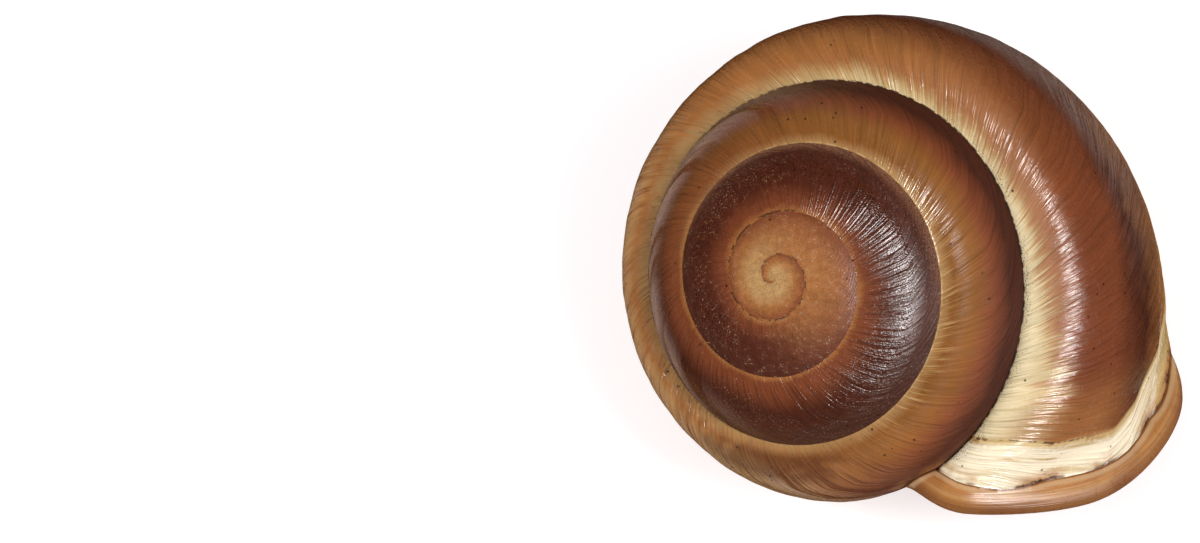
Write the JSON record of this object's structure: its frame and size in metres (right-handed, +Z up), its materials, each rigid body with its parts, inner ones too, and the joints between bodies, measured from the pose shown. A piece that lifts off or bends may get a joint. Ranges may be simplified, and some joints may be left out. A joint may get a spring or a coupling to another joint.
{
  "type": "land snail shell",
  "caption": "Empty right-coiled land snail shell with a low domed spire, a large rounded last whorl and a thick rolled-back lip round its open mouth.",
  "frame": {"origin": "middle of the bounding box in plan, on the surface that the shell lies on", "axes": "+Z up, spire upwards; +X towards the outer lip; the mouth opens downwards and towards -Y"},
  "size_m": [0.0476, 0.044, 0.0275],
  "materials": {
    "shell": "glossy chestnut brown with a pale band under the suture and an orange-brown lip"
  },
  "bodies": {
    "root": {"shell": "shell"}
  },
  "joints": []
}
